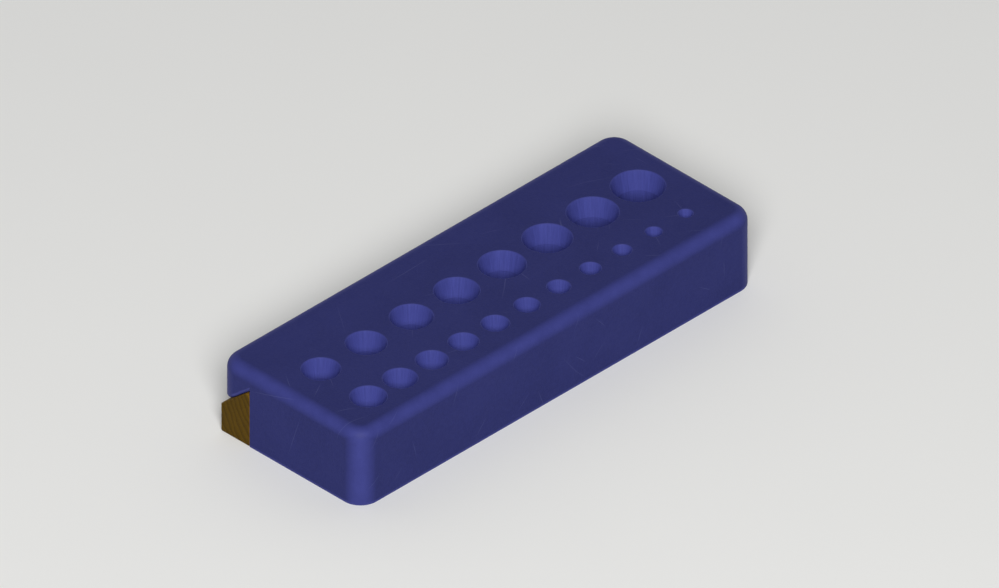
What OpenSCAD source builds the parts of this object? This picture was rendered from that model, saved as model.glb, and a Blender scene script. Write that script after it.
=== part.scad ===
// Drill bit holder: a bored block that hangs on a bevelled wall cleat
// The block's front faces -Y, the wall is at +Y, and the origin is the centre of the block's underside

/* [Block] */
// Length of the block, along its rows of holes
block_length = 125; // [115:1:200]
// Depth of the block, from its front to the wall
block_depth = 45; // [43:1:80]
// Height of the block
block_height = 20; // [18:1:40]
// Radius of the block's upright corners
corner_radius = 5; // [3.5:0.5:8]
// Radius of the rounded edge round the top
top_round = 3; // [1:0.5:3]

/* [Drill holes] */
// Diameter of the smallest drill
smallest_drill = 1; // [0.5:0.5:2]
// Step from one drill size to the next
drill_step = 0.5; // [0.1:0.1:0.5]
// Drills in the front row, the smaller sizes
front_count = 11; // [5:1:11]
// Drills in the back row, the larger sizes
back_count = 8; // [4:1:8]
// Distance from the block's end to the middle of a row's first hole
end_inset = 12.5; // [10:0.5:18]
// Distance from the block's front to the middle of the front row
front_row_inset = 10; // [8:0.5:12]
// Distance from the front row to the back row
row_spacing = 15; // [12:0.5:16]
// How much wider a hole is than its drill
drill_play = 0.4; // [0.2:0.1:0.6]
// Depth of the holes, down to where their drilled points begin
hole_depth = 15; // [10:0.5:16]
// Angle of the cone that the drill leaves at the bottom of a hole
point_angle = 118; // [110:1:140]
// Depth of the tapered mouth
mouth_depth = 5; // [2:0.5:8]
// How much the tapered mouth widens, from side to side
mouth_flare = 2; // [0.5:0.1:2.4]

/* [Cleat] */
// Height of the cleat in front, to where its slanted top would come to a point
cleat_height = 15; // [14:0.5:16]
// Thickness of the cleat
cleat_thickness = 9; // [8:0.5:10]
// Slope of the cleat's top and of the notch's ceiling, in degrees
bevel_angle = 40; // [30:1:45]
// Radius of the cleat's rounded tip
tip_round = 1; // [0.4:0.1:2]
// How far the cleat runs past each end of the block
cleat_overrun = 0; // [0:1:150]

/* [Notch in the block] */
// Gap between the cleat and the two faces that meet it
cleat_gap = 0.05; // [0.02:0.01:0.3]
// How much deeper the notch is than the cleat
cleat_play = 1; // [0.5:0.1:2]
// Radius of the rounded edge of the hooked lip
lip_round = 1; // [0.4:0.1:1.5]

/* [Screws] */
// Distance between the two cleat screws
screw_spacing = 80; // [40:1:90]
// Height of the screws above the cleat's underside
screw_height = 4; // [3.4:0.1:4.2]
// Diameter over the screw's thread
thread_diameter = 3; // [2.5:0.1:3.2]
// Diameter of the smooth shank between the head and the thread
shank_diameter = 2.2; // [1.8:0.1:2.4]
// Length of the screw
screw_length = 20; // [16:1:25]
// Length of the thread with its point
thread_length = 11; // [8:0.5:12]
// Diameter of the countersunk head
head_diameter = 6; // [5.6:0.1:6.6]
// Length of the screw's pointed end
point_length = 3; // [2:0.1:5]
// How far the head lies below the cleat's face
head_inset = 0.2; // [0.05:0.05:0.5]
// How much wider the cleat's hole is than the thread
thread_play = 0.3; // [0.1:0.05:0.5]
// Width of the arms of the cross recess
recess_width = 0.7; // [0.5:0.05:1]
// Reach of the cross recess from side to side
recess_span = 2.8; // [2:0.1:3]
// Depth of the cross recess
recess_depth = 1.1; // [0.6:0.1:1.2]

/* [Hidden] */
$fn = 72;
// How far a cutter passes beyond the surface that it opens
cut_over = 2;
// Stations round each corner of the lip, and facets across its rounded edge
corner_steps = 12;
edge_steps = 7;
// Angle at which the lip's rounding crosses the upright wall, so that the two do not merely touch
cross_turn = 12;

half_length = block_length / 2;
half_depth = block_depth / 2;
straight_x = block_length - corner_radius * 2;
straight_y = block_depth - corner_radius * 2;
slope = tan(bevel_angle);
notch_depth = cleat_gap + cleat_thickness + cleat_play;
notch_height = cleat_height + cleat_gap * (slope + 1 / cos(bevel_angle));
notch_y = half_depth - notch_depth;
lip_inset = lip_round * cos(cross_turn);

// A profile of the block's side: its outer face stands at 0 and its top edge is rounded
module side_profile(width) {
    square([width, block_height - top_round]);
    translate([top_round, 0]) square([width - top_round, block_height]);
    intersection() {
        translate([top_round, block_height - top_round]) circle(r = top_round);
        square([top_round, block_height]);
    }
}

// The block's outer form: a long slab, two ends and four corner posts, which meet face to face
module rounded_block() {
    translate([-straight_x / 2, 0, 0])
        rotate([90, 0, 90])
            linear_extrude(straight_x)
                for (side = [0, 1])
                    mirror([side, 0])
                        translate([-half_depth, 0])
                            side_profile(half_depth);
    for (side = [0, 1])
        mirror([side, 0, 0]) {
            translate([-half_length, straight_y / 2, 0])
                rotate([90, 0, 0])
                    linear_extrude(straight_y)
                        side_profile(corner_radius);
            for (end = [0, 1])
                mirror([0, end, 0])
                    translate([straight_x / 2, straight_y / 2, 0])
                        corner_post();
        }
}

// One upright corner, a quarter turn of the rounded side profile
module corner_post() {
    rotate_extrude(angle = 90)
        translate([corner_radius, 0])
            mirror([1, 0])
                side_profile(corner_radius);
}

// One drill hole down from the top, with a drilled point at its bottom and its tapered mouth carried on above
// the surface
module drill_hole(drill) {
    hole_radius = (drill + drill_play) / 2;
    flare_rate = mouth_flare / 2 / mouth_depth;
    translate([0, 0, block_height])
        rotate_extrude()
            polygon([
                [0, -hole_depth - hole_radius / tan(point_angle / 2)],
                [hole_radius, -hole_depth],
                [hole_radius, -mouth_depth],
                [hole_radius + flare_rate * (mouth_depth + cut_over), cut_over],
                [0, cut_over]
            ]);
}

// Both rows of holes: towards +X the front row's drills grow thinner and the back row's grow thicker
module drill_holes() {
    row_length = block_length - end_inset * 2;
    front_row_y = front_row_inset - half_depth;
    largest_front = smallest_drill + drill_step * (front_count - 1);
    for (i = [0:front_count - 1])
        translate([row_length * (i / (front_count - 1) - 1 / 2), front_row_y, 0])
            drill_hole(largest_front - drill_step * i);
    for (i = [0:back_count - 1])
        translate([row_length * (i / (back_count - 1) - 1 / 2), front_row_y + row_spacing, 0])
            drill_hole(largest_front + drill_step * (i + 1));
}

// Height of the notch's slanted ceiling
function ceiling_z(y) = notch_height - (y - notch_y) * slope;

// The lip's edge is rounded as by a ball of the lip's radius, rolled along inside one end, round both back
// corners and along inside the other end. A station of its path is [x, y, outward x, outward y].
function corner_station(side, turn) = [
    side * (straight_x / 2 + (corner_radius - lip_inset) * cos(turn)),
    straight_y / 2 + (corner_radius - lip_inset) * sin(turn),
    side * cos(turn),
    sin(turn)
];
function end_station(side) = [side * (half_length - lip_inset), notch_y - lip_round - cut_over, side, 0];

// A direction part of the way round from one unit direction to another
function turned(from, to, part) =
    let (angle = acos(from * to))
    (sin(angle * (1 - part)) * from + sin(angle * part) * to) / sin(angle);

// One section of the notch's cutter: below the block and outside it, level with the ball, then round the ball
// to the slanted ceiling
function lip_section(station) =
    let (
        outward = [station[2], station[3], 0],
        ball = [station[0], station[1], ceiling_z(station[1]) + lip_round / cos(bevel_angle)],
        ceiling_normal = [0, -sin(bevel_angle), -cos(bevel_angle)],
        full_turn = acos(outward * ceiling_normal),
        first_turn = cross_turn * 2,
        turns = [0, for (i = [0:edge_steps]) first_turn + (full_turn - first_turn) * i / edge_steps],
        outside = ball + outward * (lip_round + cut_over)
    )
    concat(
        [[outside[0], outside[1], -cut_over], outside],
        [for (turn = turns) ball + lip_round * turned(outward, ceiling_normal, turn / full_turn)]
    );

// The notch: all that lies behind its upright wall and under the slanted ceiling with its rounded edge
module cleat_notch() {
    stations = concat(
        [end_station(1)],
        [for (i = [0:corner_steps]) corner_station(1, 90 * i / corner_steps)],
        [for (i = [corner_steps:-1:0]) corner_station(-1, 90 * i / corner_steps)],
        [end_station(-1)]
    );
    sections = [for (station = stations) lip_section(station)];
    count = len(sections);
    ring = len(sections[0]);
    intersection() {
        polyhedron(
            [for (section = sections) for (point = section) point],
            concat(
                [for (i = [0:count - 1]) for (j = [0:ring - 2])
                    [i * ring + j, i * ring + j + 1, (i + 1) % count * ring + j + 1]],
                [for (i = [0:count - 1]) for (j = [0:ring - 2])
                    [i * ring + j, (i + 1) % count * ring + j + 1, (i + 1) % count * ring + j]],
                [[for (i = [0:count - 1]) i * ring]],
                [[for (i = [count - 1:-1:0]) i * ring + ring - 1]]
            )
        );
        translate([-half_length - cut_over, notch_y, -cut_over])
            cube([block_length + cut_over * 2, notch_depth + cut_over, block_height]);
    }
}

module holder_block() {
    color([0.29, 0.31, 0.6])
        difference() {
            rounded_block();
            cleat_notch();
            drill_holes();
        }
}

// The cleat's section, with its tip's rounding tangent to the upright face and to the slanted top
module cleat_profile() {
    tip_centre = [tip_round, cleat_height - tip_round / tan((90 - bevel_angle) / 2)];
    polygon([
        [0, 0],
        [cleat_thickness, 0],
        [cleat_thickness, cleat_height - cleat_thickness * slope],
        tip_centre + tip_round * [sin(bevel_angle), cos(bevel_angle)],
        tip_centre,
        tip_centre - [tip_round, 0]
    ]);
    translate(tip_centre) circle(r = tip_round);
}

// A countersunk form about a screw's axis, from the head's face at 0
module countersunk_form(stem_diameter, reach) {
    rotate_extrude()
        polygon([
            [0, 0],
            [head_diameter / 2, 0],
            [stem_diameter / 2, (head_diameter - stem_diameter) / 2],
            [stem_diameter / 2, reach],
            [0, reach]
        ]);
}

// Places its children at the face of a screw's head, with +Z running into the wall
module at_screw(side) {
    translate([side * screw_spacing / 2, notch_y + cleat_gap + head_inset, screw_height])
        rotate([-90, 0, 0])
            children();
}

module wall_cleat() {
    cleat_length = block_length + cleat_overrun * 2;
    color([0.5, 0.38, 0.1])
        difference() {
            translate([-cleat_length / 2, notch_y + cleat_gap, 0])
                rotate([90, 0, 90])
                    linear_extrude(cleat_length)
                        cleat_profile();
            for (side = [-1, 1])
                at_screw(side) {
                    countersunk_form(thread_diameter + thread_play, cleat_thickness + cut_over);
                    translate([0, 0, -cut_over]) cylinder(d = head_diameter, h = cut_over);
                }
        }
}

// A countersunk wood screw with a cross recess in its head and a pointed end
module cleat_screw(side) {
    thread_start = screw_length - thread_length;
    point_start = screw_length - point_length;
    color([0.8, 0.8, 0.82])
        at_screw(side)
            difference() {
                union() {
                    countersunk_form(shank_diameter, thread_start);
                    translate([0, 0, thread_start]) cylinder(d = thread_diameter, h = point_start - thread_start);
                    translate([0, 0, point_start]) cylinder(d1 = thread_diameter, d2 = 0, h = point_length);
                }
                for (turn = [0, 90])
                    rotate(turn)
                        translate([-recess_span / 2, -recess_width / 2, -cut_over])
                            cube([recess_span, recess_width, cut_over + recess_depth]);
            }
}

module cleat_screw_left() {
    cleat_screw(-1);
}

module cleat_screw_right() {
    cleat_screw(1);
}

holder_block();
wall_cleat();
cleat_screw_left();
cleat_screw_right();
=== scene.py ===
import math

import bmesh
import bpy
from mathutils import Matrix, Vector


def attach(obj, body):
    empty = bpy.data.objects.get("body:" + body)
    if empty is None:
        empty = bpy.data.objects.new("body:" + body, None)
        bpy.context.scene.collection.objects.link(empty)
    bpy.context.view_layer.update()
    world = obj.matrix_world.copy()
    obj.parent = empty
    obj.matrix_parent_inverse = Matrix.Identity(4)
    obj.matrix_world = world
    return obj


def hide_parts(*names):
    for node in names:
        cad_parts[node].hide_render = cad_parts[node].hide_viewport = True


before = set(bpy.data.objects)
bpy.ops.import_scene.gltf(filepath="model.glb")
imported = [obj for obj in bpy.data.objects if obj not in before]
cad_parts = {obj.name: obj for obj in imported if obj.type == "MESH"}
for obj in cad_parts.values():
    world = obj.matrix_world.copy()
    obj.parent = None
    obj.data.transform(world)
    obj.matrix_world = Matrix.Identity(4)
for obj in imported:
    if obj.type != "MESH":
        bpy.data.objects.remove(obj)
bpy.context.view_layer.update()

# every size below is in millimetres and every angle in degrees; a mesh is made in metres
mm = 0.001
weldDistance = 1e-6
slimDistance = weldDistance / 4
print("frame loaded:", ", ".join(sorted(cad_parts)))


# small helpers for meshes

def showObject(name, mesh):
    made = bpy.data.objects.new(name, mesh)
    bpy.context.scene.collection.objects.link(made)
    return made


def roundedCorner(before, corner, after, radius, steps, margin):
    # stations (point, outward, bend) round a path's corner, anticlockwise, with one a margin off either end
    arriving = (corner - before).normalized()
    leaving = (after - corner).normalized()
    outward = Vector((arriving.y, -arriving.x))
    turn = outward.angle(Vector((leaving.y, -leaving.x)))
    start = corner - arriving * radius * math.tan(turn / 2)
    centre = start - outward * radius
    stations = [(start - arriving * margin, outward.copy(), 0)]
    for i in range(steps + 1):
        turned = Matrix.Rotation(turn * i / steps, 2) @ outward
        stations.append((centre + turned * radius, turned, math.sin(math.pi * i / steps)))
    stations.append((stations[-1][0] + leaving * margin, stations[-1][1].copy(), 0))
    return stations


def quarterTurn(steps):
    # angles from a right angle down to zero
    return [math.pi / 2 * (1 - i / steps) for i in range(steps + 1)]


def newShell():
    mesh = bmesh.new()
    for name in ("wear", "endGrain"):
        mesh.verts.layers.float.new(name)
    return mesh


def addRing(mesh, points, wear=0.0, endGrain=0.0):
    # the wear and painted highlight value is one value, or one for each point
    layers = mesh.verts.layers.float
    ring = []
    for i, point in enumerate(points):
        vertex = mesh.verts.new(Vector(point) * mm)
        vertex[layers["wear"]] = wear[i] if isinstance(wear, list) else wear
        vertex[layers["endGrain"]] = endGrain
        ring.append(vertex)
    return ring


def bridge(mesh, rings, closed=True):
    for first, second in zip(rings, rings[1:]):
        count = len(first)
        for i in range(count if closed else count - 1):
            j = (i + 1) % count
            mesh.faces.new((first[i], first[j], second[j], second[i]))


def closeShell(mesh, name):
    bmesh.ops.recalc_face_normals(mesh, faces=mesh.faces)
    for face in mesh.faces:
        face.smooth = True
    data = bpy.data.meshes.new(name)
    mesh.to_mesh(data)
    mesh.free()
    return data


def cappedForm(name, mesh, rings):
    # rings joined one to the next, with a flat face on the first and on the last
    bridge(mesh, rings)
    mesh.faces.new(rings[0])
    mesh.faces.new(rings[-1])
    return showObject(name, closeShell(mesh, name))


def settle(piece, sharpAngle):
    # the evaluated result becomes a plain mesh: doubles merged, faces outwards, sharp where its edges are
    graph = bpy.context.evaluated_depsgraph_get()
    data = bpy.data.meshes.new_from_object(piece.evaluated_get(graph))
    piece.modifiers.clear()
    old, piece.data = piece.data, data
    bpy.data.meshes.remove(old)
    data.name = piece.name
    mesh = bmesh.new()
    mesh.from_mesh(data)
    bmesh.ops.remove_doubles(mesh, verts=mesh.verts, dist=weldDistance)
    bmesh.ops.dissolve_degenerate(mesh, edges=mesh.edges, dist=slimDistance)
    bmesh.ops.recalc_face_normals(mesh, faces=mesh.faces)
    openEdges = sum(1 for edge in mesh.edges if len(edge.link_faces) != 2)
    mesh.to_mesh(data)
    mesh.free()
    data.shade_smooth()
    data.set_sharp_from_angle(angle=math.radians(sharpAngle))
    data.calc_loop_triangles()
    print(piece.name, "settled:", len(data.loop_triangles), "triangles,", openEdges, "open edges")


# small helpers for node trees, of geometry and of materials

def feed(tree, node, feeds):
    # links a socket to an input, or sets the input to a value
    for socket, value in feeds.items():
        if isinstance(value, bpy.types.NodeSocket):
            tree.links.new(value, node.inputs[socket])
        else:
            node.inputs[socket].default_value = value


def addNode(tree, kind, feeds=None, **settings):
    made = tree.nodes.new(kind)
    for key, value in settings.items():
        setattr(made, key, value)
    feed(tree, made, feeds or {})
    return made


def sums(tree, operation, *feeds):
    return addNode(tree, "ShaderNodeMath", dict(enumerate(feeds)), operation=operation).outputs[0]


def product(tree, *values):
    result = values[0]
    for value in values[1:]:
        result = sums(tree, "MULTIPLY", result, value)
    return result


def weighted(tree, values, weights):
    # the sum of the values, each times its weight
    total = 0.0
    for value, weight in zip(values, weights):
        total = sums(tree, "MULTIPLY_ADD", value, weight, total)
    return total


def vectors(tree, operation, *feeds):
    made = addNode(tree, "ShaderNodeVectorMath", dict(enumerate(feeds)), operation=operation)
    return made.outputs["Value" if operation in ("LENGTH", "DOT_PRODUCT") else "Vector"]


def combine(tree, *feeds):
    return addNode(tree, "ShaderNodeCombineXYZ", dict(enumerate(feeds))).outputs[0]


def split(tree, vector):
    return addNode(tree, "ShaderNodeSeparateXYZ", {0: vector}).outputs


# helpers for geometry alone

def startGeometryTree(name, inputs):
    tree = bpy.data.node_groups.new(name, "GeometryNodeTree")
    tree.interface.new_socket("Geometry", in_out="INPUT", socket_type="NodeSocketGeometry")
    for label, kind in inputs.items():
        tree.interface.new_socket(label, in_out="INPUT", socket_type="NodeSocket" + kind)
    tree.interface.new_socket("Geometry", in_out="OUTPUT", socket_type="NodeSocketGeometry")
    return tree, addNode(tree, "NodeGroupInput").outputs


def weld(tree, geometry):
    feeds = {"Geometry": geometry, "Distance": weldDistance}
    return addNode(tree, "GeometryNodeMergeByDistance", feeds).outputs[0]


def realize(tree, geometry):
    return addNode(tree, "GeometryNodeRealizeInstances", {"Geometry": geometry}).outputs[0]


def endGeometryTree(tree, geometry, material):
    feeds = {"Geometry": realize(tree, weld(tree, geometry)), "Material": material}
    painted = addNode(tree, "GeometryNodeSetMaterial", feeds).outputs[0]
    addNode(tree, "NodeGroupOutput", {"Geometry": painted})


def addTree(piece, tree, values):
    modifier = piece.modifiers.new(tree.name, "NODES")
    modifier.node_group = tree
    for item in tree.interface.items_tree:
        if item.in_out == "INPUT" and item.name in values:
            modifier[item.identifier] = values[item.name]


def position(tree):
    return addNode(tree, "GeometryNodeInputPosition").outputs[0]


def movePoints(tree, geometry, socket, where):
    return addNode(tree, "GeometryNodeSetPosition", {"Geometry": geometry, socket: where}).outputs[0]


def transform(tree, geometry, moves):
    return addNode(tree, "GeometryNodeTransform", {"Geometry": geometry, **moves}).outputs[0]


def named(tree, name, kind="FLOAT"):
    return addNode(tree, "GeometryNodeInputNamedAttribute", {"Name": name}, data_type=kind).outputs[0]


def keep(tree, geometry, name, value, kind="FLOAT"):
    feeds = {"Geometry": geometry, "Name": name, "Value": value}
    return addNode(tree, "GeometryNodeStoreNamedAttribute", feeds, data_type=kind, domain="POINT").outputs[0]


def sample(tree, geometry, value, index, kind="FLOAT"):
    feeds = {"Geometry": geometry, "Value": value, "Index": index}
    return addNode(tree, "GeometryNodeSampleIndex", feeds, data_type=kind, domain="POINT").outputs[0]


def join(tree, *parts):
    made = addNode(tree, "GeometryNodeJoinGeometry")
    for part in parts:
        tree.links.new(part, made.inputs[0])
    return made.outputs[0]


def profileObject(name, rows, labels=()):
    # points (x, 0, z), with a named value for each label
    data = bpy.data.meshes.new(name)
    points = [(row[0] * mm, 0, row[1] * mm) for row in rows]
    data.from_pydata(points, [(i, i + 1) for i in range(len(rows) - 1)], [])
    for k, label in enumerate(labels):
        values = [row[2 + k] for row in rows]
        data.attributes.new(label, "FLOAT", "POINT").data.foreach_set("value", values)
    return showObject(name, data)


def profileOf(tree, objectSocket):
    # a profile's points, as made by profileObject, and how many there are
    points = addNode(tree, "GeometryNodeObjectInfo", {"Object": objectSocket}).outputs["Geometry"]
    size = addNode(tree, "GeometryNodeAttributeDomainSize", {"Geometry": points})
    return points, size.outputs["Point Count"]


def profilePoint(tree, profile, row):
    return split(tree, sample(tree, profile, position(tree), row, "FLOAT_VECTOR"))


def revolvedGrid(tree, rows, segments):
    # a grid that knows each row's number, and each column's part of the turn and direction from the axis
    columns = sums(tree, "ADD", segments, 1)
    feeds = {"Size X": 1.0, "Size Y": 1.0, "Vertices X": rows, "Vertices Y": columns}
    grid = addNode(tree, "GeometryNodeMeshGrid", feeds).outputs["Mesh"]
    halfSize = (0.5, 0.5, 0.0)
    share = split(tree, vectors(tree, "ADD", position(tree), halfSize))
    row = sums(tree, "ROUND", product(tree, share["X"], sums(tree, "SUBTRACT", rows, 1)))
    turn = share["Y"]
    angle = product(tree, turn, math.tau)
    around = combine(tree, sums(tree, "COSINE", angle), sums(tree, "SINE", angle), 0.0)
    grid = keep(tree, keep(tree, grid, "row", row), "turn", turn)
    return keep(tree, grid, "around", around, "FLOAT_VECTOR")


def swungOut(tree, radius, height):
    # where a grid's point lies at this distance from the axis and at this height
    around = named(tree, "around", "FLOAT_VECTOR")
    level = vectors(tree, "MULTIPLY", around, combine(tree, radius, radius, 0.0))
    return vectors(tree, "ADD", level, combine(tree, 0.0, 0.0, height))


# helpers for materials alone; a scale counts patterns to a millimetre, and a dent's depth is below zero

def startMaterial(name):
    material = bpy.data.materials.new(name)
    material.use_nodes = True
    tree = material.node_tree
    shader = next(n for n in tree.nodes if n.type == "BSDF_PRINCIPLED")
    inMetres = addNode(tree, "ShaderNodeTexCoord").outputs["Object"]
    return material, tree, shader, vectors(tree, "MULTIPLY", inMetres, (1 / mm, 1 / mm, 1 / mm))


def noise(tree, vector, scale=1.0, detail=2.0, roughness=0.5, distortion=0.0, stretch=None):
    if stretch:
        vector = vectors(tree, "MULTIPLY", vector, stretch)
    feeds = {"Vector": vector, "Scale": scale, "Detail": detail, "Roughness": roughness}
    return addNode(tree, "ShaderNodeTexNoise", {**feeds, "Distortion": distortion}).outputs["Fac"]


def cells(tree, vector, scale):
    return addNode(tree, "ShaderNodeTexVoronoi", {"Vector": vector, "Scale": scale}).outputs


def remap(tree, value, span, newSpan=(0.0, 1.0)):
    feeds = {0: value, 1: span[0], 2: span[1], 3: newSpan[0], 4: newSpan[1]}
    return addNode(tree, "ShaderNodeMapRange", feeds).outputs[0]


def fadeOut(tree, value, end, solidShare):
    # 1 up to a share of the end, and falling to 0 at the end
    return remap(tree, value, (end * solidShare, end), (1.0, 0.0))


def blendColour(tree, factor, first, second):
    feeds = {0: factor, 6: first, 7: second}
    return addNode(tree, "ShaderNodeMix", feeds, data_type="RGBA").outputs[2]


def scratches(tree, vector, cell, reach, width, share):
    # straight marks: in a share of random cells, where the surface crosses a plane through the cell's middle
    near = cells(tree, vector, 1 / cell)
    away = vectors(tree, "SUBTRACT", vector, near["Position"])
    middleGrey = (0.5, 0.5, 0.5)
    across = vectors(tree, "NORMALIZE", vectors(tree, "SUBTRACT", near["Color"], middleGrey))
    beside = sums(tree, "ABSOLUTE", vectors(tree, "DOT_PRODUCT", away, across))
    line = fadeOut(tree, beside, width, solidShare=0.3)
    fade = fadeOut(tree, vectors(tree, "LENGTH", away), reach, solidShare=0.3)
    chosen = sums(tree, "LESS_THAN", split(tree, near["Color"])["X"], share)
    return product(tree, line, fade, chosen)


def dots(tree, vector, scale, radius):
    # round specks, whose radius is a part of a cell
    return fadeOut(tree, cells(tree, vector, scale)["Distance"], radius, solidShare=0.6)


def attribute(tree, name, output="Fac"):
    return addNode(tree, "ShaderNodeAttribute", attribute_name=name).outputs[output]


def bump(tree, height, strength, depth, below=None):
    feeds = {"Height": height, "Strength": strength, "Distance": depth * mm}
    if below is not None:
        feeds["Normal"] = below
    return addNode(tree, "ShaderNodeBump", feeds).outputs[0]


def rgb(*shown):
    # a colour as a picture shows it, made linear
    shares = [value / 255 for value in shown]
    linear = [c / 12.92 if c <= 0.04045 else ((c + 0.055) / 1.055) ** 2.4 for c in shares]
    return (*linear, 1.0)


# the bored block: a moulded plastic slab with a hooked notch along its lower back

plastic = {
    "skin": rgb(35, 39, 92),
    "mottle": rgb(40, 44, 100),
    "mottleSpan": (0.32, 0.62),
    "mottleMix": (0.55, 0.25, 0.45),  # of clouds, grain and specks
    "clouds": {"scale": 0.06, "detail": 3.0, "roughness": 0.55, "distortion": 0.4},
    "specks": {"scale": 1.3, "roughness": 0.6},
    "grainSize": 0.34,
    "grainMix": (-0.7, 0.6),  # of pebbles and of noise that is finer
    "finerBy": 1.1,
    "grainBump": (0.8, 0.045),
    # cut: the bored walls' paler colour, partly cut plastic and partly painted light in the holes
    "cut": rgb(70, 75, 150),
    "streakCount": 9.0,
    "streakStretch": (0.02, 0.02, 0.1),
    "streaks": {"scale": 1.8, "detail": 3.0, "roughness": 0.65},
    "streakSpan": (0.3, 0.7),
    "streakBump": (0.4, 0.04),
    "leastCutAndLight": 0.62,
    # paler colour on the roundings: partly burnish from handling, partly a painted highlight
    "burnishedHighlight": rgb(56, 60, 125),
    "burnishedHighlightWear": (0.0, 0.4),
    "rubAndHighlight": {"scale": 0.25, "detail": 4.0, "roughness": 0.6},
    "rubAndHighlightSpan": (0.25, 0.7),
    "leastRubAndHighlight": 0.6,
    "scratched": rgb(104, 108, 158),
    "nickedWear": (0.42, 0.9),
    "nicks": {"scale": 1.9, "detail": 3.0, "roughness": 0.7},
    "nickSpan": (0.56, 0.66),
    "nickStrength": 0.5,
    "longScratches": {"cell": 17.0, "reach": 8.0, "width": 0.1, "share": 0.5},
    "shortScratches": {"cell": 6.5, "reach": 2.8, "width": 0.08, "share": 0.4},
    "scratchBend": {"scale": 0.09, "detail": 1.0},
    "scratchStrength": 0.2,
    "scratchBump": (0.4, -0.03),
    "roughness": (0.59, 0.65),
    "sheen": {"scale": 0.5, "detail": 3.0, "roughness": 0.6},
    "sheenSpan": (0.3, 0.7),
    "rougherMarks": 0.1,
    "smootherWear": 0.08,
    "specular": 0.12,
}


def makePlastic(look):
    material, tree, shader, place = startMaterial("indigo moulded plastic")
    pebbles = cells(tree, place, 1 / look["grainSize"])["Distance"]
    fine = noise(tree, place, look["finerBy"] / look["grainSize"])
    grain = weighted(tree, (pebbles, fine), look["grainMix"])
    clouds = noise(tree, place, **look["clouds"])
    specks = noise(tree, place, **look["specks"])
    shade = weighted(tree, (clouds, grain, specks), look["mottleMix"])
    mottle = remap(tree, shade, look["mottleSpan"])
    colour = blendColour(tree, mottle, look["skin"], look["mottle"])

    # bored walls are paler than the moulded skin, partly as cut plastic and partly as painted light that
    # brightens the hole walls; fine streaks run down them
    bored = attribute(tree, "bore")
    count = look["streakCount"]
    around = vectors(tree, "MULTIPLY", attribute(tree, "around", "Vector"), (count, count, 0.0))
    down = vectors(tree, "MULTIPLY_ADD", place, look["streakStretch"], around)
    streaks = noise(tree, down, **look["streaks"])
    cut = product(tree, bored, remap(tree, streaks, look["streakSpan"], (look["leastCutAndLight"], 1.0)))
    colour = blendColour(tree, cut, colour, look["cut"])

    # handled edges are burnished, and their roundings carry a painted highlight; the sharpest of them also
    # nicked
    wear = attribute(tree, "wear")
    rubAndHighlight = noise(tree, place, **look["rubAndHighlight"])
    rubAndHighlight = remap(tree, rubAndHighlight, look["rubAndHighlightSpan"], (look["leastRubAndHighlight"], 1.0))
    polishAndHighlight = product(tree, remap(tree, wear, look["burnishedHighlightWear"]), rubAndHighlight)
    colour = blendColour(tree, polishAndHighlight, colour, look["burnishedHighlight"])
    nicks = remap(tree, noise(tree, place, **look["nicks"]), look["nickSpan"])
    nicked = product(tree, remap(tree, wear, look["nickedWear"]), nicks)

    # faint scratches of two lengths, a little bent, and none down in the holes
    bend = noise(tree, place, **look["scratchBend"])
    bent = vectors(tree, "ADD", place, combine(tree, bend, bend, bend))
    long = scratches(tree, bent, **look["longScratches"])
    short = scratches(tree, bent, **look["shortScratches"])
    scratched = product(tree, sums(tree, "MAXIMUM", long, short), sums(tree, "SUBTRACT", 1.0, bored))
    faint = product(tree, scratched, look["scratchStrength"])
    mark = sums(tree, "MAXIMUM", product(tree, nicked, look["nickStrength"]), faint)
    colour = blendColour(tree, mark, colour, look["scratched"])

    sheen = noise(tree, place, **look["sheen"])
    rough = remap(tree, sheen, look["sheenSpan"], look["roughness"])
    rough = sums(tree, "MULTIPLY_ADD", mark, look["rougherMarks"], rough)
    rough = sums(tree, "MULTIPLY_ADD", polishAndHighlight, -look["smootherWear"], rough)
    normal = bump(tree, grain, *look["grainBump"])
    normal = bump(tree, scratched, *look["scratchBump"], normal)
    normal = bump(tree, product(tree, streaks, bored), *look["streakBump"], normal)
    feed(tree, shader, {"Base Color": colour, "Roughness": rough, "Normal": normal})
    feed(tree, shader, {"Specular IOR Level": look["specular"]})
    return material


block = {
    "length": 125.0,
    "depth": 45.0,
    "height": 20.0,
    "cornerRadius": 5.0,
    "cornerSteps": 24,
    "topRound": 3.0,
    "roundSteps": 14,
    "notchY": 12.45,
    "ceilingHeight": 15.1072,  # above the base, where the notch's ceiling meets its upright wall
    "ceilingSlope": 40.0,
    "lipRound": 1.0,
    "lipSteps": 14,
    "lipStart": 1.5,  # from the notch's wall to where the lip's edge has a station of its own
    "edgeSoftening": 0.25,
    "softeningSteps": 3,
    "margin": 0.4,  # from a rounding to the first row of faces beside it
    "baseMargin": 0.7,
    # the wear values below also set a painted highlight on the roundings
    "cornerWearAndHighlight": 0.4,
    "edgeWearAndHighlight": 0.4,
    "lipWearAndHighlight": 0.6,
    "sharpAngle": 38.0,
}


def blockPaths(size):
    # the outline above the notch, from its right end round the back to its left end, and the rest of it
    endX, backY = size["length"] / 2, size["depth"] / 2
    corners = [Vector(corner) for corner in ((endX, backY), (-endX, backY), (-endX, -backY), (endX, -backY))]
    turned = []
    for i, corner in enumerate(corners):
        sizes = size["cornerRadius"], size["cornerSteps"], size["margin"]
        turned.append(roundedCorner(corners[i - 1], corner, corners[(i + 1) % len(corners)], *sizes))

    def atEnd(side, y):
        return Vector((side * endX, y)), Vector((side, 0)), 0

    wallY, lipY = size["notchY"], size["notchY"] + size["lipStart"]
    lipPath = [atEnd(1, wallY), atEnd(1, lipY)] + turned[0] + turned[1] + [atEnd(-1, lipY), atEnd(-1, wallY)]
    beforeY = wallY - 2 * size["baseMargin"]
    frontPath = [atEnd(-1, beforeY)] + turned[2] + turned[3] + [atEnd(1, beforeY)]
    return lipPath, frontPath


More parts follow.
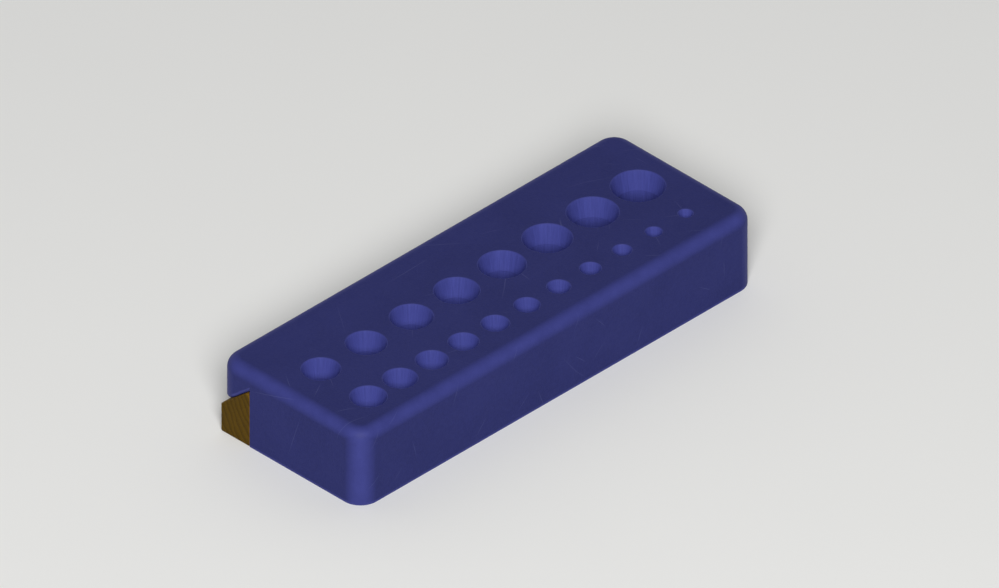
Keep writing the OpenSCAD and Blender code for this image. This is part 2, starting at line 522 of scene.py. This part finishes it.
def makeBlockShell(size):
    # everything but the flat top, which the drill holes pierce
    height, topRound, margin = size["height"], size["topRound"], size["margin"]
    slope = math.radians(size["ceilingSlope"])
    lipRound, notchY = size["lipRound"], size["notchY"]
    straightY = size["depth"] / 2 - size["cornerRadius"]
    lipPath, frontPath = blockPaths(size)
    path = lipPath + frontPath
    mesh = newShell()

    def ceiling(y):
        return size["ceilingHeight"] - (y - notchY) * math.tan(slope)

    def level(stations, inset, z):
        return [(*(point - outward * inset), z) for point, outward, bend in stations]

    def atLeast(wear, stations, upright=1):
        return [max(wear, size["cornerWearAndHighlight"] * bend * upright) for point, outward, bend in stations]

    # from the top's inner edge over the rounding to just below it, all the way round
    rings = [addRing(mesh, level(path, topRound + margin, height))]
    for turn in quarterTurn(size["roundSteps"]):
        inset, z = topRound * (1 - math.cos(turn)), height - topRound * (1 - math.sin(turn))
        # wear peaks mid-rounding and at the corners, as edge wear and as a painted highlight
        wear = atLeast(size["edgeWearAndHighlight"] * math.sin(2 * turn), path, math.cos(turn))
        rings.append(addRing(mesh, level(path, inset, z), wear))
    wallTop = height - topRound - margin
    rings.append(addRing(mesh, level(path, 0, wallTop), atLeast(0, path)))
    bridge(mesh, rings)

    # the lip: its edge is rounded as by a ball rolled along under the wall and the slanted ceiling
    ceilingNormal = Vector((0, -math.sin(slope), -math.cos(slope)))
    facingEnd = 0.999
    balls = []
    for point, outward, bend in lipPath:
        centre = point - outward * lipRound
        ball = Vector((*centre, ceiling(centre.y) + lipRound / math.cos(slope)))
        # along the block's ends the sections turn upright towards the notch's wall
        upright = (straightY - point.y) / (straightY - notchY) if abs(outward.x) > facingEnd else 0
        balls.append((ball, Vector((*outward, 0)), max(0, upright)))

    def roundTheBall(part):
        points = []
        for ball, outward, upright in balls:
            whole = outward.angle(ceilingNormal)
            turn = whole * part
            way = (math.sin(whole - turn) * outward + math.sin(turn) * ceilingNormal) / math.sin(whole)
            shift = upright * lipRound * math.sin(turn) * math.sin(slope)
            points.append(ball + way * lipRound + Vector((0, shift, -shift * math.tan(slope))))
        return points

    lipRings = [rings[-1][: len(lipPath)]]
    aboveLip = [point + Vector((0, 0, min(margin, (wallTop - point.z) / 2))) for point in roundTheBall(0)]
    lipRings.append(addRing(mesh, aboveLip, atLeast(0, lipPath)))
    for i in range(size["lipSteps"] + 1):
        part = i / size["lipSteps"]
        # the lip's rounding gets edge wear and a painted highlight
        wear = atLeast(size["lipWearAndHighlight"] * math.sin(math.pi * part), lipPath)
        lipRings.append(addRing(mesh, roundTheBall(part), wear))
    inside = []
    for contact, (ball, outward, upright) in zip(roundTheBall(1), balls):
        moved = contact - outward * margin
        inside.append(Vector((moved.x, moved.y, ceiling(moved.y))))
    lipRings.append(addRing(mesh, inside))
    bridge(mesh, lipRings, closed=False)
    mesh.faces.new(lipRings[-1])

    # the walls below, down to the base
    foot = margin + size["edgeSoftening"]
    lowPath = [lipPath[-1]] + frontPath + [lipPath[0]]
    upper = [rings[-1][len(lipPath) - 1]] + rings[-1][len(lipPath):] + [rings[-1][0]]
    lower = addRing(mesh, level(lowPath, 0, foot), atLeast(0, lowPath))
    base = addRing(mesh, level(lowPath, 0, 0), 1.0)
    leftEdge, rightEdge = [ring[-1] for ring in lipRings[1:3]], [ring[0] for ring in lipRings[1:3]]
    bridge(mesh, (upper[1:-1], lower[1:-1]), closed=False)
    bridge(mesh, (lower, base), closed=False)
    mesh.faces.new((upper[0], upper[1], lower[1], lower[0], leftEdge[1], leftEdge[0]))
    mesh.faces.new((upper[-2], upper[-1], rightEdge[0], rightEdge[1], lower[-1], lower[-2]))
    behind = notchY - size["baseMargin"]
    inner = addRing(mesh, [(x, min(y, behind), z) for x, y, z in level(lowPath, size["baseMargin"], 0)])
    bridge(mesh, (base, inner))
    mesh.faces.new(inner)

    # the notch's upright wall, under both ends of the rounding and the ceiling between them
    rightSide = [base[-1], lower[-1]] + [ring[0] for ring in lipRings[2:]]
    leftSide = [ring[-1] for ring in reversed(lipRings[2:])] + [lower[0], base[0]]
    mesh.faces.new(rightSide + leftSide)

    # the sharp edges that the bevel softens: round the base and up both ends of the notch's wall
    soft = mesh.edges.layers.float.new("bevel_weight_edge")
    aroundBase = list(zip(base, base[1:])) + [(base[0], base[-1])]
    upLeft = [(base[0], lower[0]), (lower[0], leftEdge[1])]
    upRight = [(base[-1], lower[-1]), (lower[-1], rightEdge[1])]
    for pair in aroundBase + upLeft + upRight:
        mesh.edges.get(pair)[soft] = 1.0
    return closeShell(mesh, "block shell")


holes = {
    "smallestDrill": 1.0,
    "step": 0.5,
    "frontCount": 11,
    "backCount": 8,
    "rowLength": 100.0,
    "frontRowY": -12.5,
    "backRowY": 2.5,
    "play": 0.4,
    "depth": 15.0,
    "pointAngle": 118.0,
    "pointRim": 0.94,  # a ring of faces round the drilled point, as a share of the radius
    "mouthDepth": 5.0,
    "mouthFlare": 1.0,
    "mouthRings": (1.0, 2.2),
    "boreRing": 3.0,
    "edgeSoftening": 0.22,
    "edgeSteps": 6,
    "margin": 0.15,
    # the wear values below also set a painted highlight on the rim and at the mouth's foot
    "rimWearAndHighlight": 0.5,
    "mouthFootWearAndHighlight": 0.3,
    "segments": 72,
}


def holeProfile(size):
    # rows down a hole: distance beyond its radius, height, share of the radius, wear with painted highlight
    # and whether it is inside
    flare, mouth, deep = size["mouthFlare"], size["mouthDepth"], size["depth"]
    soft, steps, margin = size["edgeSoftening"], size["edgeSteps"], size["margin"]
    taper = math.atan(flare / mouth)
    centre = flare + soft * (1 - math.sin(taper)) / math.cos(taper)
    rows = [(centre + margin, 0, 1, 0, 0)]
    for i in range(steps + 1):
        turn = math.pi / 2 + (math.pi / 2 - taper) * i / steps
        rubAndHighlight = size["rimWearAndHighlight"] * math.sin(math.pi * i / steps)
        rows.append((centre + soft * math.cos(turn), soft * (math.sin(turn) - 1), 1, rubAndHighlight, i / steps))
    for down in (*size["mouthRings"], mouth - margin):
        rows.append((flare * (1 - down / mouth), -down, 1, 0, 1))
    rows.append((0, -mouth, 1, size["mouthFootWearAndHighlight"], 1))
    for down in (mouth + margin, mouth + size["boreRing"], deep - 2 * margin, deep):
        rows.append((0, -down, 1, 0, 1))
    rows += [(0, -deep, size["pointRim"], 0, 1), (0, -deep, 0, 0, 1)]
    return profileObject("hole profile", rows, ("share", "wear", "bore"))


def makeHolesTree():
    # two rows of graded holes, and the flat top that joins their mouths to the block's open shell
    inputs = {
        "Profile": "Object", "Smallest Drill": "Float", "Step": "Float", "Front Count": "Int",
        "Back Count": "Int", "Row Length": "Float", "Front Row Y": "Float", "Back Row Y": "Float",
        "Top Z": "Float", "Play": "Float", "Point Rise": "Float", "Segments": "Int", "Material": "Material",
    }
    tree, given = startGeometryTree("graded drill holes", inputs)
    profile, rowCount = profileOf(tree, given["Profile"])
    liner = revolvedGrid(tree, rowCount, given["Segments"])
    # only a linked position gathers the points
    gathered = movePoints(tree, liner, "Position", combine(tree, 0.0, 0.0, 0.0))

    stepsToLargest = sums(tree, "SUBTRACT", given["Front Count"], 1)
    largestFront = sums(tree, "MULTIPLY_ADD", given["Step"], stepsToLargest, given["Smallest Drill"])
    leftX = product(tree, given["Row Length"], -0.5)
    number = addNode(tree, "GeometryNodeInputIndex").outputs[0]

    def addRow(count, rowY, firstDrill, step):
        spacing = sums(tree, "DIVIDE", given["Row Length"], sums(tree, "SUBTRACT", count, 1))
        feeds = {
            "Count": count, "Start Location": combine(tree, leftX, rowY, given["Top Z"]),
            "Offset": combine(tree, spacing, 0.0, 0.0),
        }
        points = addNode(tree, "GeometryNodeMeshLine", feeds, mode="OFFSET").outputs[0]
        drill = sums(tree, "MULTIPLY_ADD", step, number, firstDrill)
        return keep(tree, points, "radius", product(tree, sums(tree, "ADD", drill, given["Play"]), 0.5))

    smallestBack = sums(tree, "ADD", largestFront, given["Step"])
    backwards = product(tree, given["Step"], -1.0)
    front = addRow(given["Front Count"], given["Front Row Y"], largestFront, backwards)
    back = addRow(given["Back Count"], given["Back Row Y"], smallestBack, given["Step"])
    feeds = {"Points": join(tree, front, back), "Instance": gathered}
    liners = realize(tree, addNode(tree, "GeometryNodeInstanceOnPoints", feeds).outputs[0])

    # every liner takes its own radius, and its drilled point its own depth
    row, radius = named(tree, "row"), named(tree, "radius")
    point = profilePoint(tree, profile, row)
    share, wear, bore = [sample(tree, profile, named(tree, name), row) for name in ("share", "wear", "bore")]
    reach = sums(tree, "MULTIPLY_ADD", radius, share, point["X"])
    pointDepth = product(tree, sums(tree, "SUBTRACT", 1.0, share), radius, given["Point Rise"])
    where = swungOut(tree, reach, sums(tree, "SUBTRACT", point["Z"], pointDepth))
    liners = keep(tree, keep(tree, liners, "wear", wear), "bore", bore)
    liners = weld(tree, movePoints(tree, liners, "Offset", where))

    # the top: what is left open between the shell and the mouths is filled flat
    shell = join(tree, given["Geometry"], liners)
    faces = addNode(tree, "GeometryNodeInputMeshEdgeNeighbors").outputs[0]
    isOpen = addNode(tree, "FunctionNodeCompare", {2: faces, 3: 1}, data_type="INT", operation="EQUAL")
    feeds = {"Mesh": shell, "Selection": isOpen.outputs[0]}
    rims = addNode(tree, "GeometryNodeMeshToCurve", feeds).outputs[0]
    top = addNode(tree, "GeometryNodeFillCurve", {"Curve": rims}, mode="TRIANGLES").outputs[0]
    across = vectors(tree, "MULTIPLY", position(tree), (1, 1, 0))
    raised = vectors(tree, "ADD", across, combine(tree, 0.0, 0.0, given["Top Z"]))
    top = movePoints(tree, top, "Position", raised)
    endGeometryTree(tree, join(tree, shell, top), given["Material"])
    return tree


holderBlock = showObject("holderBlock", makeBlockShell(block))
softened = holderBlock.modifiers.new("softened edges", "BEVEL")
softened.limit_method = "WEIGHT"
softened.width = block["edgeSoftening"] * mm
softened.segments = block["softeningSteps"]
profile = holeProfile(holes)
addTree(holderBlock, makeHolesTree(), {
    "Profile": profile, "Smallest Drill": holes["smallestDrill"] * mm, "Step": holes["step"] * mm,
    "Front Count": holes["frontCount"], "Back Count": holes["backCount"],
    "Row Length": holes["rowLength"] * mm, "Front Row Y": holes["frontRowY"] * mm,
    "Back Row Y": holes["backRowY"] * mm, "Top Z": block["height"] * mm, "Play": holes["play"] * mm,
    "Point Rise": 1 / math.tan(math.radians(holes["pointAngle"] / 2)), "Segments": holes["segments"],
    "Material": makePlastic(plastic),
})
settle(holderBlock, block["sharpAngle"])
bpy.data.objects.remove(profile)
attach(holderBlock, "block")
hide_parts("holder_block")
print("block done")


# the wall cleat: a bevelled strip of stained wood with two countersunk holes

wood = {
    "early": rgb(124, 94, 30),
    "late": rgb(88, 62, 17),
    "endEarly": rgb(89, 66, 5),
    "endLate": rgb(62, 44, 2),
    "ringWidth": 1.6,
    "pith": (-30.0, 38.0),
    "waver": {"stretch": (0.012, 0.1, 0.1)},
    "waverReach": 7.0,
    "lateRise": (0.3, 0.88),  # parts of a ring, from one late band to the next
    "lateFall": (0.9, 1.0),
    "lateWeight": 0.6,
    "fibres": {"scale": 2.0, "detail": 4.0, "roughness": 0.65, "stretch": (0.05, 1.6, 1.6)},
    "fibreSpan": (0.3, 0.75),
    "fibreWeight": 0.3,
    "fibreBump": (0.5, 0.05),
    "strands": {"scale": 7.0, "roughness": 0.7, "stretch": (0.08, 1.0, 1.0)},
    "strandSpan": (0.3, 0.7),
    "strandWeight": 0.2,
    "stain": {"stretch": (0.05, 0.2, 0.2)},
    "stainSpan": (0.3, 0.7),
    "stainWeights": (-0.1, 0.16),
    "pore": rgb(46, 31, 5),
    "poreStretch": (0.04, 1.0, 1.0),
    "pores": ((2.6, 0.2), (4.3, 0.24)),  # scale and radius
    "poreStrength": 0.7,
    "poreBump": (0.6, -0.06),
    "earlySpan": (0.15, 0.75),
    "fewestPores": 0.25,
    "roughness": (0.56, 0.7),
    "roughnessSpan": (0.25, 0.75),
    "specular": 0.08,
}


def makeWood(look):
    material, tree, shader, place = startMaterial("stained wood")
    # growth rings round a pith outside the strip, wavering slowly along it
    wander = noise(tree, place, **look["waver"])
    offset = split(tree, vectors(tree, "SUBTRACT", place, (0, *look["pith"])))
    squares = [sums(tree, "POWER", offset[axis], 2.0) for axis in ("Y", "Z")]
    radius = sums(tree, "SQRT", sums(tree, "ADD", *squares))
    radius = sums(tree, "MULTIPLY_ADD", wander, look["waverReach"], radius)
    ring = sums(tree, "FRACT", sums(tree, "DIVIDE", radius, look["ringWidth"]))
    fall = remap(tree, ring, look["lateFall"], (1.0, 0.0))
    late = product(tree, remap(tree, ring, look["lateRise"]), fall)

    # fibres and pores run along the strip, so its ends show them as dots; most pores lie in the early wood
    fibres = noise(tree, place, **look["fibres"])
    lengthwise = vectors(tree, "MULTIPLY", place, look["poreStretch"])
    pore = sums(tree, "MAXIMUM", *[dots(tree, lengthwise, *sizes) for sizes in look["pores"]])
    pore = product(tree, pore, remap(tree, late, look["earlySpan"], (1.0, look["fewestPores"])))

    strands = noise(tree, place, **look["strands"])
    stain = noise(tree, place, **look["stain"])
    fibreTone = remap(tree, fibres, look["fibreSpan"], (0.0, look["fibreWeight"]))
    strandTone = remap(tree, strands, look["strandSpan"], (0.0, look["strandWeight"]))
    stainTone = remap(tree, stain, look["stainSpan"], look["stainWeights"])
    fineTone = sums(tree, "ADD", fibreTone, strandTone)
    tone = sums(tree, "MULTIPLY_ADD", late, look["lateWeight"], fineTone)
    tone = remap(tree, sums(tree, "ADD", tone, stainTone), (0.0, 1.0))
    along = blendColour(tree, tone, look["early"], look["late"])
    across = blendColour(tree, tone, look["endEarly"], look["endLate"])
    colour = blendColour(tree, attribute(tree, "endGrain"), along, across)
    colour = blendColour(tree, product(tree, pore, look["poreStrength"]), colour, look["pore"])

    rough = remap(tree, fibres, look["roughnessSpan"], look["roughness"])
    normal = bump(tree, fibres, *look["fibreBump"])
    normal = bump(tree, pore, *look["poreBump"], normal)
    feed(tree, shader, {"Base Color": colour, "Roughness": rough, "Normal": normal})
    feed(tree, shader, {"Specular IOR Level": look["specular"]})
    return material


cleat = {
    "length": 125.0,
    "frontY": 12.5,
    "thickness": 9.0,
    "height": 15.0,  # to where the slanted top would come to a point
    "slope": 40.0,
    "tipRound": 1.0,
    "edgeRound": 0.45,
    "endRound": 0.25,
    "edgeSteps": 5,
    "margin": 0.15,
    "sharpAngle": 32.0,
    "sinkSegments": 64,
    "sinkOverrun": 1.0,
    "sinkFlare": (0.25, 0.1),  # of the cutter, in front of the strip and at its face
}

screws = {
    "spacing": 80.0,
    "height": 4.0,
    "headInset": 0.2,
    "headDiameter": 6.0,
    "headRim": 0.18,
    "headPlay": 0.05,
    "edgeSoftening": 0.06,
    "edgeRows": ((3, 0), (1, 0), (0.3, 0.3), (0, 1)),  # inwards and down, in softenings
    "coneStart": 0.1,
    "shankDiameter": 2.2,
    "neckRows": ((0.35, -0.35), (0.08, -0.02), (0.0, 0.2)),  # from where the cone would meet the shank
    "collarRows": (0.25, 0.12),  # before the thread
    "threadDiameter": 3.0,
    "rootDiameter": 1.9,
    "pitch": 1.35,
    "length": 20.0,
    "threadStart": 9.0,
    "threadRunIn": 1.2,
    # how much of a ridge stands at which part of a turn
    "threadRows": ((0.0, 0.0), (0.06, 0.3), (1.0, 0.46), (1.0, 0.54), (0.06, 0.7)),
    "pointLength": 3.2,
    "pointSlimming": 0.8,
    "holeDiameter": 3.3,
    "recessSpan": 2.8,
    "recessWidth": 0.7,
    "recessDepth": 1.1,
    "recessOverrun": 0.4,
    "recessFloorShares": (0.5, 0.75),  # of its span and of its width
    "segments": 48,
    "sharpAngle": 35.0,
    "turns": (24.0, 71.0),
}


def makeCleatStrip(size):
    front, back = size["frontY"], size["frontY"] + size["thickness"]
    slopeDrop = size["thickness"] * math.tan(math.radians(size["slope"]))
    corners = [
        (Vector((front, 0)), size["edgeRound"]),
        (Vector((back, 0)), size["edgeRound"]),
        (Vector((back, size["height"] - slopeDrop)), size["edgeRound"]),
        (Vector((front, size["height"])), size["tipRound"]),
    ]
    path = []
    for i, (corner, radius) in enumerate(corners):
        before, after = corners[i - 1][0], corners[(i + 1) % len(corners)][0]
        path += roundedCorner(before, corner, after, radius, size["edgeSteps"] * 2, size["margin"])
    mesh = newShell()

    def section(inset, x, endGrain=0.0):
        points = [(x, *(point - outward * inset)) for point, outward, bend in path]
        return addRing(mesh, points, 0.0, endGrain)

    half, soft = size["length"] / 2, size["endRound"]
    rings = []
    for side in (-1, 1):
        rows = [section(soft + size["margin"], side * half, 1.0)]
        for turn in quarterTurn(size["edgeSteps"]):
            inset, inwards = soft * (1 - math.cos(turn)), soft * (1 - math.sin(turn))
            rows.append(section(inset, side * (half - inwards), turn / (math.pi / 2)))
        rows.append(section(0, side * (half - soft - size["margin"])))
        rings += rows if side < 0 else rows[::-1]
    return cappedForm("wallCleat", mesh, rings)


def screwPlace(side):
    return Vector((side * screws["spacing"] / 2, cleat["frontY"] + screws["headInset"], screws["height"]))


def makeSink(side):
    # a cutter for a screw's hole, turned about an axis that runs into the wall
    head, hole = screws["headDiameter"] / 2 + screws["headPlay"], screws["holeDiameter"] / 2
    overrun, (outer, inner) = cleat["sinkOverrun"], cleat["sinkFlare"]
    rows = [
        (head + outer, -overrun), (head + inner, -screws["headInset"]), (head, 0.0),
        (hole, head - hole), (hole, cleat["thickness"] + overrun),
    ]
    mesh = newShell()
    angles = [math.tau * i / cleat["sinkSegments"] for i in range(cleat["sinkSegments"])]
    rings = []
    for radius, depth in rows:
        points = [Vector((radius * math.cos(angle), depth, radius * math.sin(angle))) for angle in angles]
        rings.append(addRing(mesh, [screwPlace(side) + point for point in points]))
    return cappedForm("countersink", mesh, rings)


wallCleat = makeCleatStrip(cleat)
sinks = [makeSink(side) for side in (-1, 1)]
for sink in sinks:
    cut = wallCleat.modifiers.new("cut", "BOOLEAN")
    cut.object, cut.operation, cut.solver = sink, "DIFFERENCE", "EXACT"
wallCleat.data.materials.append(makeWood(wood))
settle(wallCleat, cleat["sharpAngle"])
for sink in sinks:
    bpy.data.objects.remove(sink)
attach(wallCleat, "cleat")
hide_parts("wall_cleat")
print("cleat done")


# the two countersunk wood screws that hold the cleat

steel = {
    "bright": rgb(196, 198, 204),
    "dull": rgb(150, 152, 160),
    "patches": {"scale": 0.8, "detail": 3.0, "roughness": 0.6},
    "patchSpan": (0.35, 0.7),
    # darker and rougher deep in the recess of the head
    "recessDark": rgb(48, 44, 40),
    "recessDarkDepth": (0.05, 0.7),
    "recessDarkStrength": 0.75,
    "recessDarkRoughness": 0.4,
    "recessDarkMargin": 0.05,
    "headDepth": 1.4,
    "grooves": {"roughness": 0.6, "stretch": (9.0, 6.0, 0.0)},
    "grooveBump": (0.35, 0.02),
    "roughness": (0.24, 0.42),
    "roughnessSpan": (0.35, 0.65),
    "roughnessMix": (0.5, 0.5),  # of patches and grooves
}


def makeSteel(look):
    material, tree, shader, place = startMaterial("zinc plated steel")
    # distance from the nearer screw's axis: turned marks run round it
    apart = split(tree, place)
    x = sums(tree, "SUBTRACT", sums(tree, "ABSOLUTE", apart["X"]), screws["spacing"] / 2)
    z = sums(tree, "SUBTRACT", apart["Z"], screws["height"])
    radius = vectors(tree, "LENGTH", combine(tree, x, z, 0.0))
    grooves = noise(tree, combine(tree, radius, apart["Y"], 0.0), **look["grooves"])
    patches = noise(tree, place, **look["patches"])
    patched = remap(tree, patches, look["patchSpan"])
    colour = blendColour(tree, patched, look["bright"], look["dull"])

    # darker and rougher deep in the recess of the head
    depth = sums(tree, "SUBTRACT", apart["Y"], cleat["frontY"] + screws["headInset"])
    inRecess = sums(tree, "LESS_THAN", radius, screws["recessSpan"] / 2 + look["recessDarkMargin"])
    inHead = sums(tree, "LESS_THAN", apart["Y"], cleat["frontY"] + look["headDepth"])
    deep = remap(tree, depth, look["recessDarkDepth"])
    recessDark = product(tree, deep, inRecess, inHead, look["recessDarkStrength"])
    colour = blendColour(tree, recessDark, colour, look["recessDark"])

    rough = weighted(tree, (patches, grooves), look["roughnessMix"])
    rough = remap(tree, rough, look["roughnessSpan"], look["roughness"])
    rough = sums(tree, "MULTIPLY_ADD", recessDark, look["recessDarkRoughness"], rough)
    normal = bump(tree, grooves, *look["grooveBump"])
    feed(tree, shader, {"Base Color": colour, "Roughness": rough, "Normal": normal, "Metallic": 1.0})
    return material


def shankProfile(size):
    # rows (radius, depth) from the middle of the head's face to where the thread begins
    head, rim, shank = size["headDiameter"] / 2, size["headRim"], size["shankDiameter"] / 2
    soft, start = size["edgeSoftening"], size["threadStart"]
    rows = [(0, 0)] + [(head - soft * inwards, soft * down) for inwards, down in size["edgeRows"]]
    rows += [(head, rim), (head - size["coneStart"], rim + size["coneStart"])]
    coneEnd = rim + (head - shank)
    rows += [(shank + beyond, coneEnd + down) for beyond, down in size["neckRows"]]
    rows += [(shank, start - before) for before in size["collarRows"]]
    rows.append((size["rootDiameter"] / 2, start))
    return profileObject("shank profile", rows)


def recessCutter(size):
    # a cross whose arms narrow downwards
    spanShare, widthShare = size["recessFloorShares"]
    levels = ((-size["recessOverrun"], 1, 1), (0, 1, 1), (size["recessDepth"], spanShare, widthShare))
    mesh = newShell()
    rings = []
    for depth, spread, thin in levels:
        reach, arm = size["recessSpan"] / 2 * spread, size["recessWidth"] / 2 * thin
        outline = []
        for i in range(4):
            turned = Matrix.Rotation(-math.pi / 2 * i, 2)
            outline += [(*(turned @ Vector(xy)), depth) for xy in ((arm, arm), (reach, arm), (reach, -arm))]
        rings.append(addRing(mesh, outline))
    return cappedForm("recess cutter", mesh, rings)


def makeScrewTree():
    inputs = {
        "Shank": "Object", "Thread": "Object", "Recess": "Object", "Place": "Vector", "Turn": "Float",
        "Root Radius": "Float", "Thread Radius": "Float", "Pitch": "Float", "Thread Start": "Float",
        "Run In": "Float", "Length": "Float", "Point Length": "Float", "Slimming": "Float", "Segments": "Int",
        "Material": "Material",
    }
    tree, given = startGeometryTree("wood screw", inputs)

    # head and shank, turned from their profile
    profile, rowCount = profileOf(tree, given["Shank"])
    shank = revolvedGrid(tree, rowCount, given["Segments"])
    point = profilePoint(tree, profile, named(tree, "row"))
    shank = movePoints(tree, shank, "Position", swungOut(tree, point["X"], point["Z"]))

    # the thread: the rows climb round the axis, and end level at the shank and in the point
    profile, perTurn = profileOf(tree, given["Thread"])
    start, length, pitch = given["Thread Start"], given["Length"], given["Pitch"]
    reach = sums(tree, "SUBTRACT", length, start)
    turns = sums(tree, "ADD", sums(tree, "CEIL", sums(tree, "DIVIDE", reach, pitch)), 1.0)
    rows = sums(tree, "MULTIPLY_ADD", turns, perTurn, 1.0)
    thread = revolvedGrid(tree, rows, given["Segments"])
    row, turn = named(tree, "row"), named(tree, "turn")
    nudge = 0.01  # keeps a whole number of turns whole
    whole = sums(tree, "FLOOR", sums(tree, "DIVIDE", sums(tree, "ADD", row, nudge), perTurn))
    point = profilePoint(tree, profile, sums(tree, "MODULO", row, perTurn))
    ridge, phase = [sums(tree, "DIVIDE", point[axis], mm) for axis in ("X", "Z")]
    climbed = sums(tree, "SUBTRACT", sums(tree, "ADD", sums(tree, "ADD", whole, phase), turn), 1.0)
    depth = sums(tree, "MULTIPLY_ADD", climbed, pitch, start)
    depth = sums(tree, "MINIMUM", sums(tree, "MAXIMUM", depth, start), length)
    begun = remap(tree, sums(tree, "SUBTRACT", depth, start), (0.0, given["Run In"]))
    toTip = sums(tree, "DIVIDE", sums(tree, "SUBTRACT", length, depth), given["Point Length"])
    slim = sums(tree, "POWER", sums(tree, "MINIMUM", toTip, 1.0), given["Slimming"])
    tallest = sums(tree, "SUBTRACT", given["Thread Radius"], given["Root Radius"])
    height = product(tree, ridge, begun, tallest)
    radius = product(tree, sums(tree, "ADD", given["Root Radius"], height), slim)
    thread = movePoints(tree, thread, "Position", swungOut(tree, radius, depth))

    screw = weld(tree, join(tree, shank, thread))
    cutter = addNode(tree, "GeometryNodeObjectInfo", {"Object": given["Recess"]}).outputs["Geometry"]
    feeds = {"Mesh 1": screw, "Mesh 2": cutter}
    cut = addNode(tree, "GeometryNodeMeshBoolean", feeds, operation="DIFFERENCE", solver="EXACT").outputs[0]
    turned = transform(tree, cut, {"Rotation": combine(tree, 0.0, 0.0, given["Turn"])})
    placed = transform(tree, turned, {"Translation": given["Place"], "Rotation": (-math.pi / 2, 0, 0)})
    endGeometryTree(tree, placed, given["Material"])
    return tree


screwSteel = makeSteel(steel)
screwTree = makeScrewTree()
shank, recess = shankProfile(screws), recessCutter(screws)
thread = profileObject("thread profile", screws["threadRows"])
for side, name, turn in zip((-1, 1), ("left", "right"), screws["turns"]):
    screw = showObject("cleatScrew" + name.capitalize(), bpy.data.meshes.new("screw"))
    addTree(screw, screwTree, {
        "Shank": shank, "Thread": thread, "Recess": recess, "Place": screwPlace(side) * mm,
        "Turn": math.radians(turn), "Root Radius": screws["rootDiameter"] / 2 * mm,
        "Thread Radius": screws["threadDiameter"] / 2 * mm, "Pitch": screws["pitch"] * mm,
        "Thread Start": screws["threadStart"] * mm, "Run In": screws["threadRunIn"] * mm,
        "Length": screws["length"] * mm, "Point Length": screws["pointLength"] * mm,
        "Slimming": screws["pointSlimming"], "Segments": screws["segments"], "Material": screwSteel,
    })
    settle(screw, screws["sharpAngle"])
    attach(screw, "cleat")
    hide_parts("cleat_screw_" + name)
for helper in (shank, thread, recess):
    bpy.data.objects.remove(helper)
print("screws done")


# floor, light and camera; these sizes are in metres

studio = {
    "floorColour": rgb(238, 238, 236),
    "floorMottle": 0.985,
    "floorSpeckle": {"scale": 0.02, "detail": 3.0},
    "floorRoughness": 0.9,
    "floorSpecular": 0.1,
    "floorReach": 6.0,
    "floorDrop": 2e-5,
    "backdrop": (0.72, 0.72, 0.71, 1.0),
    "fillFront": (0.07, 0.07, 0.07, 1.0),
    "fillBehind": (0.6, 0.6, 0.6, 1.0),
    "fillSpan": (-0.7, 0.2),
    "keyFrom": (-1.0, -1.04, 1.06),
    "keyDistance": 2.4,
    "keySize": 1.1,
    "keyPower": 62.0,
    "viewCentre": (0.002709, 0.01365),
    "viewWidth": 0.22274,
    "viewDistance": 1.0,
    "viewClip": (0.01, 10.0),
}


def makeFloor(look):
    material, tree, shader, place = startMaterial("pale floor")
    colour = look["floorColour"]
    darker = tuple(c * look["floorMottle"] for c in colour[:3]) + (1.0,)
    speckle = noise(tree, place, **look["floorSpeckle"])
    colour = blendColour(tree, speckle, colour, darker)
    rough, specular = look["floorRoughness"], look["floorSpecular"]
    feed(tree, shader, {"Base Color": colour, "Roughness": rough, "Specular IOR Level": specular})
    reach, under = look["floorReach"], -look["floorDrop"]
    corners = [(x * reach, y * reach, under) for x, y in ((-1, -1), (1, -1), (1, 1), (-1, 1))]
    data = bpy.data.meshes.new("floor")
    data.from_pydata(corners, [], [(0, 1, 2, 3)])
    data.materials.append(material)
    return showObject("floor", data)


def stand(thing, where, back):
    # stands a lamp or camera there, with its back in this direction
    bpy.context.scene.collection.objects.link(thing)
    thing.location = where
    thing.rotation_euler = (-back).to_track_quat("-Z", "Y").to_euler()


def lightStudio(look):
    world = bpy.data.worlds.new("studio")
    bpy.context.scene.world = world
    world.use_nodes = True
    tree = world.node_tree
    tree.nodes.clear()
    seen = addNode(tree, "ShaderNodeLightPath").outputs
    mirrored = sums(tree, "MAXIMUM", seen["Is Glossy Ray"], seen["Is Transmission Ray"])
    shown = sums(tree, "MAXIMUM", seen["Is Camera Ray"], mirrored)
    # the unseen fill is stronger from behind the object than from the key's side
    direction = addNode(tree, "ShaderNodeTexCoord").outputs["Generated"]
    towards = Vector(look["keyFrom"]).normalized()
    facing = vectors(tree, "DOT_PRODUCT", direction, (towards.x, towards.y, 0.0))
    toFront = remap(tree, facing, look["fillSpan"])
    fill = blendColour(tree, toFront, look["fillBehind"], look["fillFront"])
    colour = blendColour(tree, shown, fill, look["backdrop"])
    background = addNode(tree, "ShaderNodeBackground", {"Color": colour})
    addNode(tree, "ShaderNodeOutputWorld", {"Surface": background.outputs[0]})
    lamp = bpy.data.lights.new("key softbox", "AREA")
    lamp.shape, lamp.size, lamp.energy = "DISK", look["keySize"], look["keyPower"]
    stand(bpy.data.objects.new("key softbox", lamp), towards * look["keyDistance"], towards)


def placeCamera(look):
    # an isometric view: level with no axis, with the three of them equally foreshortened
    data = bpy.data.cameras.new("camera")
    data.type, data.ortho_scale = "ORTHO", look["viewWidth"]
    data.clip_start, data.clip_end = look["viewClip"]
    camera = bpy.data.objects.new("camera", data)
    back = Vector((-1, -1, 1)).normalized()
    right = Vector((1, -1, 0)).normalized()
    up = back.cross(right)
    acrossBy, upBy = look["viewCentre"]
    stand(camera, right * acrossBy + up * upBy + back * look["viewDistance"], back)
    bpy.context.scene.camera = camera


makeFloor(studio)
lightStudio(studio)
placeCamera(studio)
bpy.context.scene.view_settings.view_transform = "Standard"
print("studio done")
